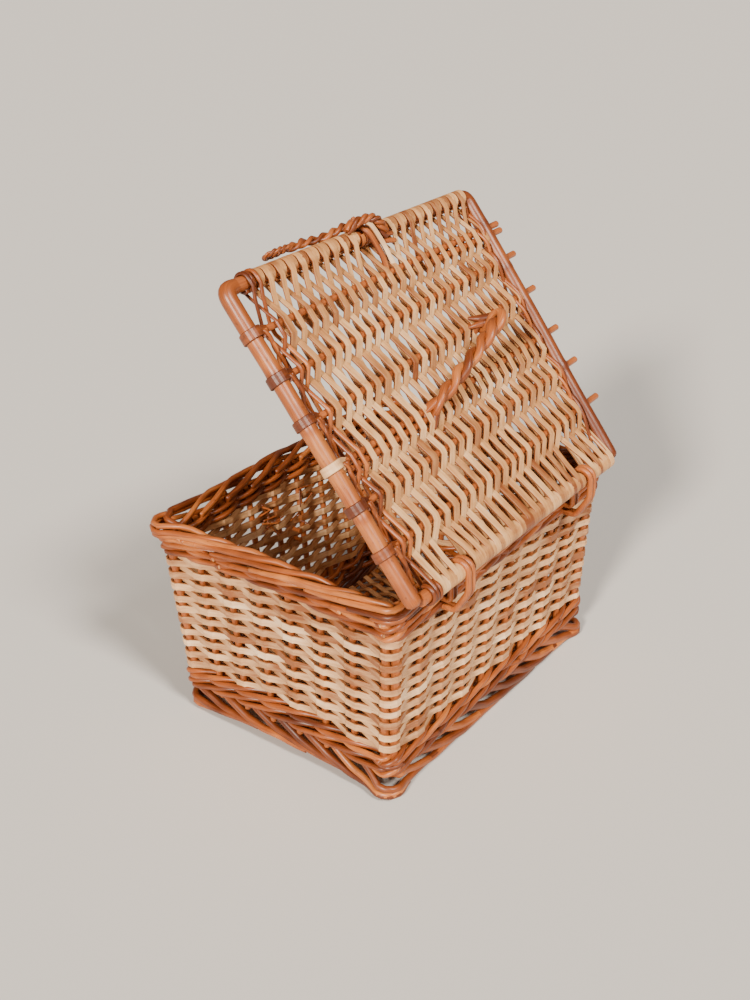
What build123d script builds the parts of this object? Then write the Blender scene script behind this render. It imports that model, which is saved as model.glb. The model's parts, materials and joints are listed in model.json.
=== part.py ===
from build123d import *
import math
import os

# Hinged-lid willow hamper, in millimetres. The floor is Z = 0, the back wall with
# the hinges faces +Y, the front faces -Y, and the basket stands centred on the origin.
os.makedirs("parts", exist_ok=True)

# Basket: outside sizes at the border and at the floor
height = 212.0
top_length = 358.0
top_depth = 291.0
base_length = 345.0
base_depth = 259.0
corner_radius = 6.0  # of the stakes' middle surface
least_inner_radius = 1.0

# Heights of the bands of weave; the siding fills what is left between the two wales
foot_height = 24.0
lower_wale_height = 24.0
upper_wale_height = 18.0
border_height = 18.0

# Thickness of each band, all centred on the stakes
foot_thickness = 17.0
wale_thickness = 17.0
siding_thickness = 11.5
border_thickness = 20.0
border_bevel = 4.0
foot_arch_rise = 9.0
foot_arch_margin = 29.5  # from the base's edge to where the arch starts

# Stakes
stake_radius = 3.25
stakes_along_length = 8
stakes_along_depth = 6
length_stake_margin = 41.25  # at the border, from the corner to the nearest stake
depth_stake_margin = 43.0
corner_stake_radius = 3.9
corner_stake_pitch = 9.0
stake_channel_run = 10.0  # how far the stakes' channels run past the bands that they pierce

# Base mat
base_mat_bottom = 11.0
base_mat_top = 21.0
base_stick_radius = 3.0
base_stick_count = 7
base_stick_margin = 21.9
base_stick_setback = 1.0

# Clearances
clearance = 0.3
running_clearance = 0.4
bend_slack = 0.01  # by which two bends that share a run fall short of its half length
lid_rest_gap = 0.5

# Lid frame; distances "reach" are measured from the hinge bar towards the front
lid_open_angle = 52.5
hinge_overhang = 13.0
front_bar_setback = 12.0
side_rod_radius = 7.6
side_rod_end_round = 2.5
side_rod_tail = 2.0
right_rod_setback_at_hinge = 8.5  # from the end of the border to the rod's axis
right_rod_setback_at_front = 4.5
left_rod_setback_at_hinge = 21.5
left_rod_setback_at_front = 14.5
back_bar_radius = 6.0
front_bar_radius = 6.2
bar_wrap_thickness = 2.3

# Lid weave and its cross sticks, which are a little unevenly placed and slanted
lid_stick_radius = 3.1
first_stick_reach = 48.0
last_stick_setback = 41.0
stick_shifts = [0.0, 1.4, -2.2, -1.3, -0.4, 0.0]
stick_slants = [10.0, 10.0, 10.0, 13.5, 11.0, 4.0]
stick_left_overhang = 7.5
half_stick_offset = 7.2
half_stick_row_right = 2
half_stick_right_start = 4.0
half_stick_row_left = 5
half_stick_left_start = -66.0
lid_weave_thickness = 11.0
lid_weave_edge_gap = 15.0
stick_end_setback = 1.5

# Side bindings
binding_thickness = 1.8
binding_width = 7.0
tail_radius = 2.2
tail_gap = 0.8
edge_tie_radius = 1.8
edge_tie_inset = 7.0

# Hinge loops: twin rods round the hinge bar, each pair just past a stake
hinge_loop_stake = 2  # counted outwards from the wall's middle, from 0
hinge_loop_past_stake = 11.75
loop_rod_radius = 2.75
loop_rod_pitch = 5.8
loop_inner_leg_drop = 24.0
loop_outer_leg_drop = 32.0
loop_tuft = 3.5
loop_notch_margin = 1.0
loop_bend_at_wall = 4.0
loop_bend_behind = 20.0
loop_bend_below = 8.0

# Lid handle: a twisted rope from a low foot up to a high end; each foot has its
# place along X and its distance past the middle of the lid
handle_radius = 5.0
handle_low_foot = (41.5, -17.0)
handle_high_foot = (-75.5, 26.5)
handle_low_rise = 14.0
handle_high_rise = 37.0
handle_low_bend = 6.5
handle_high_bend = 9.0

# Hasp, its knot on the front bar, and the noose on the front wall
hasp_place = -3.5
knot_left_reach = 17.0
knot_right_reach = 11.0
knot_thickness = 3.3
knot_gap_left = -33.5
knot_gap_right = 9.5
knot_gap_depth = 20.0
knot_pin_radius = 2.6
knot_pin_tip = 1.5
knot_pin_root_gap = 0.5
hasp_head_radius = 7.0
hasp_head_thickness = 7.2
hasp_rope_radius = 3.9
hasp_eye_reach = 106.0
hasp_eye_length = 20.0
hasp_eye_width = 9.0
hasp_eye_rod = 4.6
hasp_eye_thickness = 5.6
noose_rod_radius = 2.4
noose_leg_pitch = 10.8
noose_reach_past_hasp = 12.5
noose_tuft = 4.0

# Worked-out places
foot_top = foot_height
lower_wale_top = foot_top + lower_wale_height
upper_wale_top = height - border_height
siding_top = upper_wale_top - upper_wale_height
stake_inset = border_thickness / 2
lean = max(top_length - base_length, top_depth - base_depth) / 2 / height
stake_end_gap = clearance + corner_stake_radius * lean
length_stake_pitch = (top_length - border_thickness - 2 * length_stake_margin) / (stakes_along_length - 1)
depth_stake_pitch = (top_depth - border_thickness - 2 * depth_stake_margin) / (stakes_along_depth - 1)
hinge_loop_place = (hinge_loop_stake + 0.5) * length_stake_pitch + hinge_loop_past_stake
lid_reach = top_depth + hinge_overhang - front_bar_setback
right_rod_at_hinge = top_length / 2 - right_rod_setback_at_hinge
right_rod_at_front = top_length / 2 - right_rod_setback_at_front
left_rod_at_hinge = left_rod_setback_at_hinge - top_length / 2
left_rod_at_front = left_rod_setback_at_front - top_length / 2
lid_weave_right_edge = right_rod_at_hinge - lid_weave_edge_gap
stick_left_end = -top_length / 2 - stick_left_overhang
stick_pitch = (lid_reach - first_stick_reach - last_stick_setback) / (len(stick_shifts) - 1)
stick_reaches_at_right = [
    first_stick_reach + row * stick_pitch + shift for row, shift in enumerate(stick_shifts)
]
stick_reaches_at_left = [
    reach + slant for reach, slant in zip(stick_reaches_at_right, stick_slants)
]
hinge_y = top_depth / 2 + hinge_overhang
hinge_z = height + side_rod_radius + clearance + binding_thickness + lid_rest_gap
back_wrap_radius = back_bar_radius + clearance + bar_wrap_thickness
front_wrap_radius = front_bar_radius + clearance + bar_wrap_thickness
knot_radius = front_bar_radius + clearance + knot_thickness
loop_bend_radius = back_bar_radius + running_clearance + loop_rod_radius
loop_half_width = loop_rod_pitch / 2 + loop_rod_radius
notch_half_width = loop_half_width + loop_notch_margin
notch_reach = loop_bend_radius + loop_rod_radius + loop_notch_margin
hasp_reach = lid_reach + max(knot_radius, front_wrap_radius) + running_clearance + hasp_head_thickness / 2
noose_z = hinge_z - hasp_eye_reach
lid_top = lid_weave_thickness / 2
cut_outwards = 40.0
cut_inwards = 60.0
SIDES = ["front", "right", "back", "left"]


def save(node, solids):
    """Write one node as a STEP file; a list becomes a group of separate solids."""
    parts = solids if isinstance(solids, list) else [solids]
    body = parts[0] if len(parts) == 1 else Compound(children=parts)
    body.label = node
    export_step(body, "parts/" + node + ".step")


def rod(start, end, radius):
    """A straight round rod from one point to another."""
    run = Vector(*end) - Vector(*start)
    return Solid.make_cylinder(radius, run.length, Plane(origin=start, z_dir=run))


def tube(start, end, outer_radius, inner_radius):
    """A straight wrap: an outer rod with the rod that it is wound on taken out."""
    run = (Vector(*end) - Vector(*start)).normalized()
    bore = rod(tuple(Vector(*start) - run), tuple(Vector(*end) + run), inner_radius)
    return rod(start, end, outer_radius) - bore


def bent_rod(points, radii, radius):
    """A round rod along straight runs joined by tangent arcs."""
    path = FilletPolyline(*points, radius=radii)
    return sweep(Plane(origin=path @ 0, z_dir=path % 0) * Circle(radius), path=path)


# ---------------------------------------------------------------- basket walls
def middle(z):
    """Half length and half depth of the stakes' middle surface at a height."""
    rise = z / height
    half_length = (base_length + (top_length - base_length) * rise) / 2 - stake_inset
    half_depth = (base_depth + (top_depth - base_depth) * rise) / 2 - stake_inset
    return half_length, half_depth


def outline(z, across):
    """The wall's rounded outline at a height, shifted outwards by across."""
    half_length, half_depth = middle(z)
    size = (2 * (half_length + across), 2 * (half_depth + across))
    radius = max(corner_radius + across, least_inner_radius)
    return Plane.XY.offset(z) * RectangleRounded(*size, radius)


def corner_cuts(side, z):
    """One wall's share of a level plane, cut off at 45 degrees through two corners."""
    half_length, half_depth = middle(z)
    x_out, y_out = half_length + cut_outwards, half_depth + cut_outwards
    x_in, y_in = half_length - cut_inwards, half_depth - cut_inwards
    corners = {
        "front": [(-x_out, -y_out), (x_out, -y_out), (x_in, -y_in), (-x_in, -y_in)],
        "right": [(x_out, -y_out), (x_out, y_out), (x_in, y_in), (x_in, -y_in)],
        "back": [(x_out, y_out), (-x_out, y_out), (-x_in, y_in), (x_in, y_in)],
        "left": [(-x_out, y_out), (-x_out, -y_out), (-x_in, -y_in), (-x_in, y_in)],
    }[side]
    return Plane.XY.offset(z) * make_face(Polyline(*corners, close=True))


def wall_section(side, z, thickness):
    """One wall of a ring of weave, cut level at a height."""
    return (outline(z, thickness / 2) - outline(z, -thickness / 2)) & corner_cuts(side, z)


def band(z_low, z_high, thickness, bevel):
    """One ring of weave as its four walls; a bevel leans in its upper edges."""
    levels = [(z_low, thickness), (z_high - bevel, thickness)]
    if bevel:
        levels.append((z_high, thickness - 2 * bevel))
    return {
        side: loft([wall_section(side, z, across) for z, across in levels], ruled=True)
        for side in SIDES
    }


def wall_point(side, share, z):
    """A point of the middle surface; share is -1 to 1 along the wall."""
    half_length, half_depth = middle(z)
    return {
        "front": (share * half_length, -half_depth, z),
        "back": (share * half_length, half_depth, z),
        "right": (half_length, share * half_depth, z),
        "left": (-half_length, share * half_depth, z),
    }[side]


def corner_point(x_sign, y_sign, turn, z):
    """A point of a corner's arc, turned from its middle by an angle in radians."""
    half_length, half_depth = middle(z)
    angle = math.pi / 4 + turn
    x = half_length - corner_radius + corner_radius * math.cos(angle)
    y = half_depth - corner_radius + corner_radius * math.sin(angle)
    return (x_sign * x, y_sign * y, z)


def stake_shares(side):
    """Where the stakes of a wall stand, as shares of half its length."""
    along_length = side in ("front", "back")
    count = stakes_along_length if along_length else stakes_along_depth
    pitch = length_stake_pitch if along_length else depth_stake_pitch
    half = middle(height)[0 if along_length else 1]
    return [(i - (count - 1) / 2) * pitch / half for i in range(count)]


def wall_stakes(side, z_low, z_high, radius):
    """The round stakes of one wall between two heights."""
    return [
        rod(wall_point(side, share, z_low), wall_point(side, share, z_high), radius)
        for share in stake_shares(side)
    ]


def corner_stakes(z_low, z_high, radius):
    """The pairs of thicker stakes at the four corners."""
    turn = corner_stake_pitch / 2 / corner_radius
    pairs = []
    for x_sign in (-1, 1):
        for y_sign in (-1, 1):
            for way in (-turn, turn):
                low = corner_point(x_sign, y_sign, way, z_low)
                high = corner_point(x_sign, y_sign, way, z_high)
                pairs.append(rod(low, high, radius))
    return pairs


stake_low = foot_top + stake_end_gap
stake_high = upper_wale_top - stake_end_gap
channel_low = foot_top - stake_channel_run
channel_high = upper_wale_top + stake_channel_run
corner_channels = corner_stakes(channel_low, channel_high, corner_stake_radius + clearance)
stake_channels = {
    side: wall_stakes(side, channel_low, channel_high, stake_radius + clearance) for side in SIDES
}

# Holes for the hinge loops' legs in the back wale and for the noose's legs in the front siding
loop_places = [
    sign * hinge_loop_place + way * loop_rod_pitch / 2 for sign in (-1, 1) for way in (-1, 1)
]
loop_holes = [
    rod((x, 0, hinge_z - drop), (x, hinge_y, hinge_z - drop), loop_rod_radius + clearance)
    for x in loop_places
    for drop in (loop_inner_leg_drop + loop_bend_radius, loop_outer_leg_drop + loop_bend_radius)
]
noose_heights = [noose_z - noose_leg_pitch / 2, noose_z + noose_leg_pitch / 2]
noose_holes = [
    rod((hasp_place, 0, z), (hasp_place, -top_depth, z), noose_rod_radius + clearance)
    for z in noose_heights
]

bands = {
    "foot_border": (0, foot_top - clearance, foot_thickness, 0),
    "lower_wale": (foot_top, lower_wale_top - clearance, wale_thickness, 0),
    "siding": (lower_wale_top, siding_top - clearance, siding_thickness, 0),
    "upper_wale": (siding_top, upper_wale_top - clearance, wale_thickness, 0),
    "top_border": (upper_wale_top, height, border_thickness, border_bevel),
}

# The foot border is arched up between the corners at both ends
half_span = base_depth / 2 - foot_arch_margin
arch_radius = (half_span**2 + foot_arch_rise**2) / (2 * foot_arch_rise)
arch = rod(
    (-base_length, 0, foot_arch_rise - arch_radius),
    (base_length, 0, foot_arch_rise - arch_radius),
    arch_radius,
)

for name, sizes in bands.items():
    for side, wall in band(*sizes).items():
        if name in ("lower_wale", "siding", "upper_wale"):
            wall = wall - stake_channels[side] - corner_channels
        if name == "upper_wale" and side == "back":
            wall = wall - loop_holes
        if name == "siding" and side == "front":
            wall = wall - noose_holes
        if name == "foot_border" and side in ("left", "right"):
            wall = wall - arch
        save(name + "_" + side, wall)

for side in SIDES:
    save("stakes_" + side, wall_stakes(side, stake_low, stake_high, stake_radius))
save("corner_stakes", corner_stakes(stake_low, stake_high, corner_stake_radius))

# Base mat between the foot border's walls, woven on sticks that run its length
mat_edge = -(foot_thickness / 2 + clearance)
mat = loft([outline(z, mat_edge) for z in (base_mat_bottom, base_mat_top)])
mat_middle = (base_mat_bottom + base_mat_top) / 2
stick_half_length = middle(mat_middle)[0] + mat_edge - base_stick_setback
outer_stick_place = middle(mat_middle)[1] + mat_edge - base_stick_margin
stick_rows = [
    (2 * i / (base_stick_count - 1) - 1) * outer_stick_place for i in range(base_stick_count)
]
base_sticks = [
    rod((-stick_half_length, y, mat_middle), (stick_half_length, y, mat_middle), base_stick_radius)
    for y in stick_rows
]
base_channels = [
    rod((-top_length, y, mat_middle), (top_length, y, mat_middle), base_stick_radius + clearance)
    for y in stick_rows
]
save("base_weave", mat - base_channels)
save("base_sticks", base_sticks)


# ---------------------------------------------------------------- hinge loops
def hinge_loop_rod(x):
    """One rod: out through the wale, over the hinge bar, and back in lower down."""
    inside = middle(hinge_z - loop_bend_radius - loop_inner_leg_drop)[1]
    inside = inside - wale_thickness / 2 - loop_tuft
    near = hinge_y - loop_bend_radius
    far = hinge_y + loop_bend_radius
    top = hinge_z + loop_bend_radius
    upper = hinge_z - loop_bend_radius - loop_inner_leg_drop
    lower = hinge_z - loop_bend_radius - loop_outer_leg_drop
    points = [
        (x, inside, upper),
        (x, near, upper),
        (x, near, top),
        (x, far, top),
        (x, far, hinge_z - 2 * loop_bend_radius),
        (x, near + 1.5 * loop_rod_radius, lower),
        (x, inside, lower),
    ]
    over_bar = loop_bend_radius - bend_slack
    bends = [loop_bend_at_wall, over_bar, over_bar, loop_bend_behind, loop_bend_below]
    return bent_rod(points, bends, loop_rod_radius)


save("hinge_loop_left", [hinge_loop_rod(x) for x in loop_places[:2]])
save("hinge_loop_right", [hinge_loop_rod(x) for x in loop_places[2:]])


# ---------------------------------------------------------------- front noose
def front_noose():
    """A rod bent into a U that stands out of the front wall, for the hasp's eye."""
    lower, upper = noose_heights
    inside = -(middle(noose_z)[1] - siding_thickness / 2 - noose_tuft)
    tip = hinge_y - hasp_reach - hasp_eye_thickness / 2 - noose_reach_past_hasp
    points = [
        (hasp_place, inside, lower),
        (hasp_place, tip, lower),
        (hasp_place, tip, upper),
        (hasp_place, inside, upper),
    ]
    bend = noose_leg_pitch / 2 - bend_slack
    return bent_rod(points, [bend, bend], noose_rod_radius)


save("front_noose", front_noose())


# ---------------------------------------------------------------- lid
# Lid pieces are drawn shut, with the hinge bar's axis as the origin, the front
# towards -Y and the outside up; this location then opens the lid to where it rests.
lid_place = Location((0, hinge_y, hinge_z), (-lid_open_angle, 0, 0))


def save_lid(node, solids):
    """Write a lid node, moved from the drawing position to the open lid."""
    parts = solids if isinstance(solids, list) else [solids]
    save(node, [lid_place * piece for piece in parts])


def side_axis(side, reach):
    """Where along X a side rod's axis is, at a distance from the hinge."""
    at_hinge = right_rod_at_hinge if side == "right" else left_rod_at_hinge
    at_front = right_rod_at_front if side == "right" else left_rod_at_front
    return at_hinge + (at_front - at_hinge) * reach / lid_reach


def inner_face(side, reach):
    """Where along X the lid's inner pieces stop, just clear of a side rod."""
    inwards = -1 if side == "right" else 1
    return side_axis(side, reach) + inwards * (side_rod_radius + clearance)


def side_rod(side):
    """A side rod of the lid, its ends rounded."""
    front_reach = lid_reach + side_rod_radius
    back = (side_axis(side, -side_rod_tail), side_rod_tail, 0)
    front = (side_axis(side, front_reach), -front_reach, 0)
    body = rod(back, front, side_rod_radius)
    return fillet(body.edges().filter_by(GeomType.CIRCLE), side_rod_end_round)


def cross_bar(reach, radius):
    """A round bar across the lid, from side rod to side rod."""
    left = inner_face("left", reach)
    right = inner_face("right", reach)
    return rod((left, -reach, 0), (right, -reach, 0), radius)


def stick_reach(row, x):
    """How far from the hinge a cross stick lies, at a place along X."""
    share = (x - stick_left_end) / (lid_weave_right_edge - stick_left_end)
    at_left = stick_reaches_at_left[row]
    return at_left + (stick_reaches_at_right[row] - at_left) * share


def stick(row, left, right, radius, offset=0.0):
    """A stretch of a cross stick, or of a rod lying beside it."""
    start = (left, offset - stick_reach(row, left), 0)
    end = (right, offset - stick_reach(row, right), 0)
    return rod(start, end, radius)


# The whole sticks, and two half ones laid beside them where a row was started again
stick_right_end = lid_weave_right_edge + stick_end_setback
channel_radius = lid_stick_radius + clearance
half_stick_stretches = [
    (half_stick_row_right, half_stick_right_start, lid_weave_right_edge),
    (half_stick_row_left, stick_left_end, half_stick_left_start),
]
rows = range(len(stick_reaches_at_right))
sticks = [stick(row, stick_left_end, stick_right_end, lid_stick_radius) for row in rows]
half_sticks = [
    stick(row, left, right, lid_stick_radius, half_stick_offset)
    for row, left, right in half_stick_stretches
]
stick_channels = [stick(row, -top_length, top_length, channel_radius) for row in rows]
stick_channels += [
    stick(row, left - clearance, right + clearance, channel_radius, half_stick_offset)
    for row, left, right in half_stick_stretches
]

save_lid("lid_side_rod_left", side_rod("left") - stick_channels)
save_lid("lid_side_rod_right", side_rod("right"))
save_lid("lid_front_bar", cross_bar(lid_reach, front_bar_radius))
save_lid("lid_back_bar", cross_bar(0, back_bar_radius))
for row in rows:
    save_lid("lid_stick_" + str(row + 1), sticks[row])
save_lid("lid_half_sticks", half_sticks)

# The weave: a mat between the wrapped bars, with room for the hinge loops and the knot
weave_back = back_wrap_radius + clearance
weave_front = lid_reach - front_wrap_radius - clearance
mat_outline = Polyline(
    (inner_face("left", weave_back), -weave_back),
    (lid_weave_right_edge, -weave_back),
    (lid_weave_right_edge, -weave_front),
    (inner_face("left", weave_front), -weave_front),
    close=True,
)
lid_weave = extrude(make_face(mat_outline), amount=lid_weave_thickness / 2, both=True)
for sign in (-1, 1):
    notch = Box(2 * notch_half_width, 2 * notch_reach, 2 * lid_weave_thickness)
    lid_weave -= Pos(sign * hinge_loop_place, 0, 0) * notch
knot_gap = Box(knot_gap_right - knot_gap_left, 2 * knot_gap_depth, 2 * lid_weave_thickness)
knot_gap = Pos((knot_gap_left + knot_gap_right) / 2, -weave_front, 0) * knot_gap
save_lid("lid_weave", lid_weave - knot_gap - stick_channels)


def bar_wraps(reach, radius, wrap_radius, stretches):
    """The strands' turns round a bar, as one sleeve for each stretch along X."""
    bore = radius + clearance
    return [tube((a, -reach, 0), (b, -reach, 0), wrap_radius, bore) for a, b in stretches]


loop_left = -hinge_loop_place - notch_half_width
loop_right = -hinge_loop_place + notch_half_width
back_stretches = [
    (inner_face("left", 0) + clearance, loop_left),
    (loop_right, -loop_right),
    (-loop_left, lid_weave_right_edge),
]
front_stretches = [
    (inner_face("left", lid_reach) + clearance, knot_gap_left),
    (knot_gap_right, lid_weave_right_edge),
]
save_lid("lid_back_wraps", bar_wraps(0, back_bar_radius, back_wrap_radius, back_stretches))
save_lid("lid_front_wraps", bar_wraps(lid_reach, front_bar_radius, front_wrap_radius, front_stretches))

# Right side: each stick's tip is wound once round the rod and runs on along the edge
wrap_bore = side_rod_radius + clearance
wrap_outside = wrap_bore + binding_thickness
side_bore = rod(
    (side_axis("right", -lid_reach), lid_reach, 0),
    (side_axis("right", 2 * lid_reach), -2 * lid_reach, 0),
    wrap_bore,
)
tail_place = lid_weave_right_edge + tail_gap + tail_radius
side_bindings = []
for row in rows:
    reach = stick_reaches_at_right[row]
    near = reach - binding_width / 2
    far = reach + binding_width / 2
    wrap = rod(
        (side_axis("right", near), -near, 0), (side_axis("right", far), -far, 0), wrap_outside
    )
    tail_start = side_axis("right", far) - wrap_outside
    tail_end = stick_reaches_at_right[row - 1] + binding_width if row else 2 * binding_width
    tail = rod((tail_start, -far, 0), (tail_place, -tail_end, 0), tail_radius)
    side_bindings.append(wrap + tail - side_bore)
save_lid("lid_side_bindings", side_bindings)

# Left side: thin ties lie on the weave beside the rod, from stick to stick
tie_height = lid_top + clearance + edge_tie_radius
edge_ties = []
for row in rows[:-1]:
    near = stick_reaches_at_left[row] + lid_stick_radius
    far = stick_reaches_at_left[row + 1] - lid_stick_radius
    start = (inner_face("left", near) + edge_tie_inset, -near, tie_height)
    end = (inner_face("left", far) + edge_tie_inset, -far, tie_height)
    edge_ties.append(rod(start, end, edge_tie_radius))
save_lid("lid_edge_ties", edge_ties)

# Handle
handle_foot_height = lid_top + clearance
low_x, low_past = handle_low_foot
high_x, high_past = handle_high_foot
lid_middle = lid_reach / 2
handle_points = [
    (low_x, -lid_middle - low_past, handle_foot_height),
    (low_x, -lid_middle - low_past, handle_low_rise),
    (high_x, -lid_middle - high_past, handle_high_rise),
    (high_x, -lid_middle - high_past, handle_foot_height),
]
save_lid("lid_handle", bent_rod(handle_points, [handle_low_bend, handle_high_bend], handle_radius))

# Knot round the front bar, with the rod end that the hasp turns on
knot = tube(
    (hasp_place - knot_left_reach, -lid_reach, 0),
    (hasp_place + knot_right_reach, -lid_reach, 0),
    knot_radius,
    front_bar_radius + clearance,
)
pin_start = lid_reach + front_bar_radius + clearance + knot_pin_root_gap
pin_end = hasp_reach + hasp_head_thickness / 2 + knot_pin_tip
pin = rod((hasp_place, -pin_start, 0), (hasp_place, -pin_end, 0), knot_pin_radius)
save_lid("hasp_knot", knot + pin)

# Hasp: head on the knot's pin, twisted rope, and an eye at the end
head_near = (hasp_place, hasp_head_thickness / 2 - hasp_reach, 0)
head_far = (hasp_place, -hasp_head_thickness / 2 - hasp_reach, 0)
head_bore = knot_pin_radius + running_clearance
head = tube(head_near, head_far, hasp_head_radius, head_bore)
rope_start = hasp_place + (hasp_head_radius + head_bore) / 2
rope_end = hasp_place + hasp_eye_reach - hasp_eye_length / 2 - hasp_eye_rod / 2
rope = rod((rope_start, -hasp_reach, 0), (rope_end, -hasp_reach, 0), hasp_rope_radius)
eye_plane = Plane(origin=(hasp_place + hasp_eye_reach, -hasp_reach, 0), x_dir=(1, 0, 0), z_dir=(0, -1, 0))
eye_outer = SlotOverall(hasp_eye_length + 2 * hasp_eye_rod, hasp_eye_width + 2 * hasp_eye_rod)
eye_inner = SlotOverall(hasp_eye_length, hasp_eye_width)
eye = extrude(eye_plane * (eye_outer - eye_inner), amount=hasp_eye_thickness / 2, both=True)
save_lid("hasp", rope + head + eye)
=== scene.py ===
import json
import math

import bpy
import numpy as np
from mathutils import Matrix, Vector


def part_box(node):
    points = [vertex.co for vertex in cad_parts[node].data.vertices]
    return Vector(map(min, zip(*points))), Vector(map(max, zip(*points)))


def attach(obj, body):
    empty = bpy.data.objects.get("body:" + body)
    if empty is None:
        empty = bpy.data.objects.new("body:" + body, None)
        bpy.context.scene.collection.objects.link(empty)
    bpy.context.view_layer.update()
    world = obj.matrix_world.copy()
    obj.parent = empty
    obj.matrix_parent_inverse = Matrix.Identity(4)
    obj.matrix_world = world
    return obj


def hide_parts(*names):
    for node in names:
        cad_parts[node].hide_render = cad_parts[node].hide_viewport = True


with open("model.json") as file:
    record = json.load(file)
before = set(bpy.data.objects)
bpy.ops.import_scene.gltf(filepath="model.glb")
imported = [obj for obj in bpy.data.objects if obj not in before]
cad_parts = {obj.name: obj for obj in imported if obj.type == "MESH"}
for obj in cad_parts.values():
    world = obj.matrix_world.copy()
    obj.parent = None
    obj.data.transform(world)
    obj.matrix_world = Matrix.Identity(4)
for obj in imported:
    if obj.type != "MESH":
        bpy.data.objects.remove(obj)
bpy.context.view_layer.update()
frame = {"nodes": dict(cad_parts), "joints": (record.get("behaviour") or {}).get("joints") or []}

# ------------------------------------------------------------------ studio
# A long lens looks down on the back corner of the hamper from its right-hand side.
# The floor is a pale matt sheet, lit by two soft lamps and a pale room.
view_turn = math.radians(128.6)
view_tilt = math.radians(27.8)
view_roll = math.radians(-2.05)
view_distance = 1.2235
view_target = Vector((0.0111, -0.0050, 0.1990))
lens_mm = 45.45


def linear(hex_colour):
    """The linear colour of an sRGB hex value: ((c + 0.055) / 1.055) to the power 2.4."""
    channels = [int(hex_colour[i : i + 2], 16) / 255 for i in (1, 3, 5)]
    return [((c + 0.055) / 1.055) ** 2.4 if c > 0.04 else c / 12.92 for c in channels] + [1.0]


def add(tree, kind, inputs=(), **settings):
    """Add one node with its settings; an input is a value or the socket that feeds it."""
    node = tree.nodes.new(kind)
    for name, value in settings.items():
        setattr(node, name, value)
    for name, value in dict(inputs).items():
        if isinstance(value, bpy.types.NodeSocket):
            tree.links.new(value, node.inputs[name])
        else:
            node.inputs[name].default_value = value
    return node


back = Vector((
    math.sin(view_turn) * math.cos(view_tilt),
    -math.cos(view_turn) * math.cos(view_tilt),
    math.sin(view_tilt),
))
level = Vector((0, 0, 1)).cross(back).normalized()
upright = back.cross(level)
across_view = level * math.cos(view_roll) + upright * math.sin(view_roll)
up_view = upright * math.cos(view_roll) - level * math.sin(view_roll)
lens = bpy.data.cameras.new("camera")
lens.lens = lens_mm
lens.clip_start = 0.05
camera = bpy.data.objects.new("camera", lens)
turn = Matrix((across_view, up_view, back)).transposed().to_4x4()
camera.matrix_world = Matrix.Translation(view_target + back * view_distance) @ turn
bpy.context.scene.collection.objects.link(camera)
bpy.context.scene.camera = camera


def lamp(name, place, softness, strength, colour):
    """A distant lamp shining from a place towards the hamper, soft by its angle in degrees."""
    light = bpy.data.lights.new(name, "SUN")
    light.angle = math.radians(softness)
    light.energy = strength
    light.color = linear(colour)[:3]
    holder = bpy.data.objects.new(name, light)
    holder.rotation_euler = (-Vector(place)).to_track_quat("-Z", "Y").to_euler()
    bpy.context.scene.collection.objects.link(holder)


lamp("side_lamp", (1.0, 0.22, 0.52), 9, 5.4, "#FFF1E2")
lamp("back_lamp", (0.20, 1.0, 1.05), 12, 3.8, "#FFF4E8")

room = bpy.data.worlds.new("pale_room")
room.use_nodes = True
room_light = room.node_tree.nodes["Background"]
room_light.inputs["Color"].default_value = linear("#EDEBE8")
room_light.inputs["Strength"].default_value = 0.18
bpy.context.scene.world = room

# the sheet runs on so far that its edges stay out of sight
floor_reach = 20.0
corner_signs = ((-1, -1), (1, -1), (1, 1), (-1, 1))
floor_corners = [(x * floor_reach, y * floor_reach, 0) for x, y in corner_signs]
floor_mesh = bpy.data.meshes.new("floor")
floor_mesh.from_pydata(floor_corners, [], [(0, 1, 2, 3)])
floor = bpy.data.objects.new("floor", floor_mesh)
bpy.context.scene.collection.objects.link(floor)
paper = bpy.data.materials.new("matt_paper_sheet")
paper.use_nodes = True
sheet = paper.node_tree.nodes["Principled BSDF"]
sheet.inputs["Base Color"].default_value = linear("#D4D2CE")
sheet.inputs["Roughness"].default_value = 0.8
floor_mesh.materials.append(paper)

# ------------------------------------------------------------------ stakes
# Straight round willow stakes, a wall's worth in each node and a thicker pair at each
# corner. They are buff willow: boiled in the bark, stripped to a smooth satin orange-brown.
stake_radius = 0.00325
corner_stake_radius = 0.0039
corner_round = 0.006

# The sizes of the wood's patterns in millimetres. Real willow's grain is finer than this:
# it is drawn as coarse as it needs to be to show.
grain_width = 1.11
grain_length = 18.182
drift_length = 35.7
fleck_spacing = 4.76
# how much the grain, the drift and a strand's own tone each darken the wood
grain_share, drift_share, tone_share = 0.48, 0.48, 0.5


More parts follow.
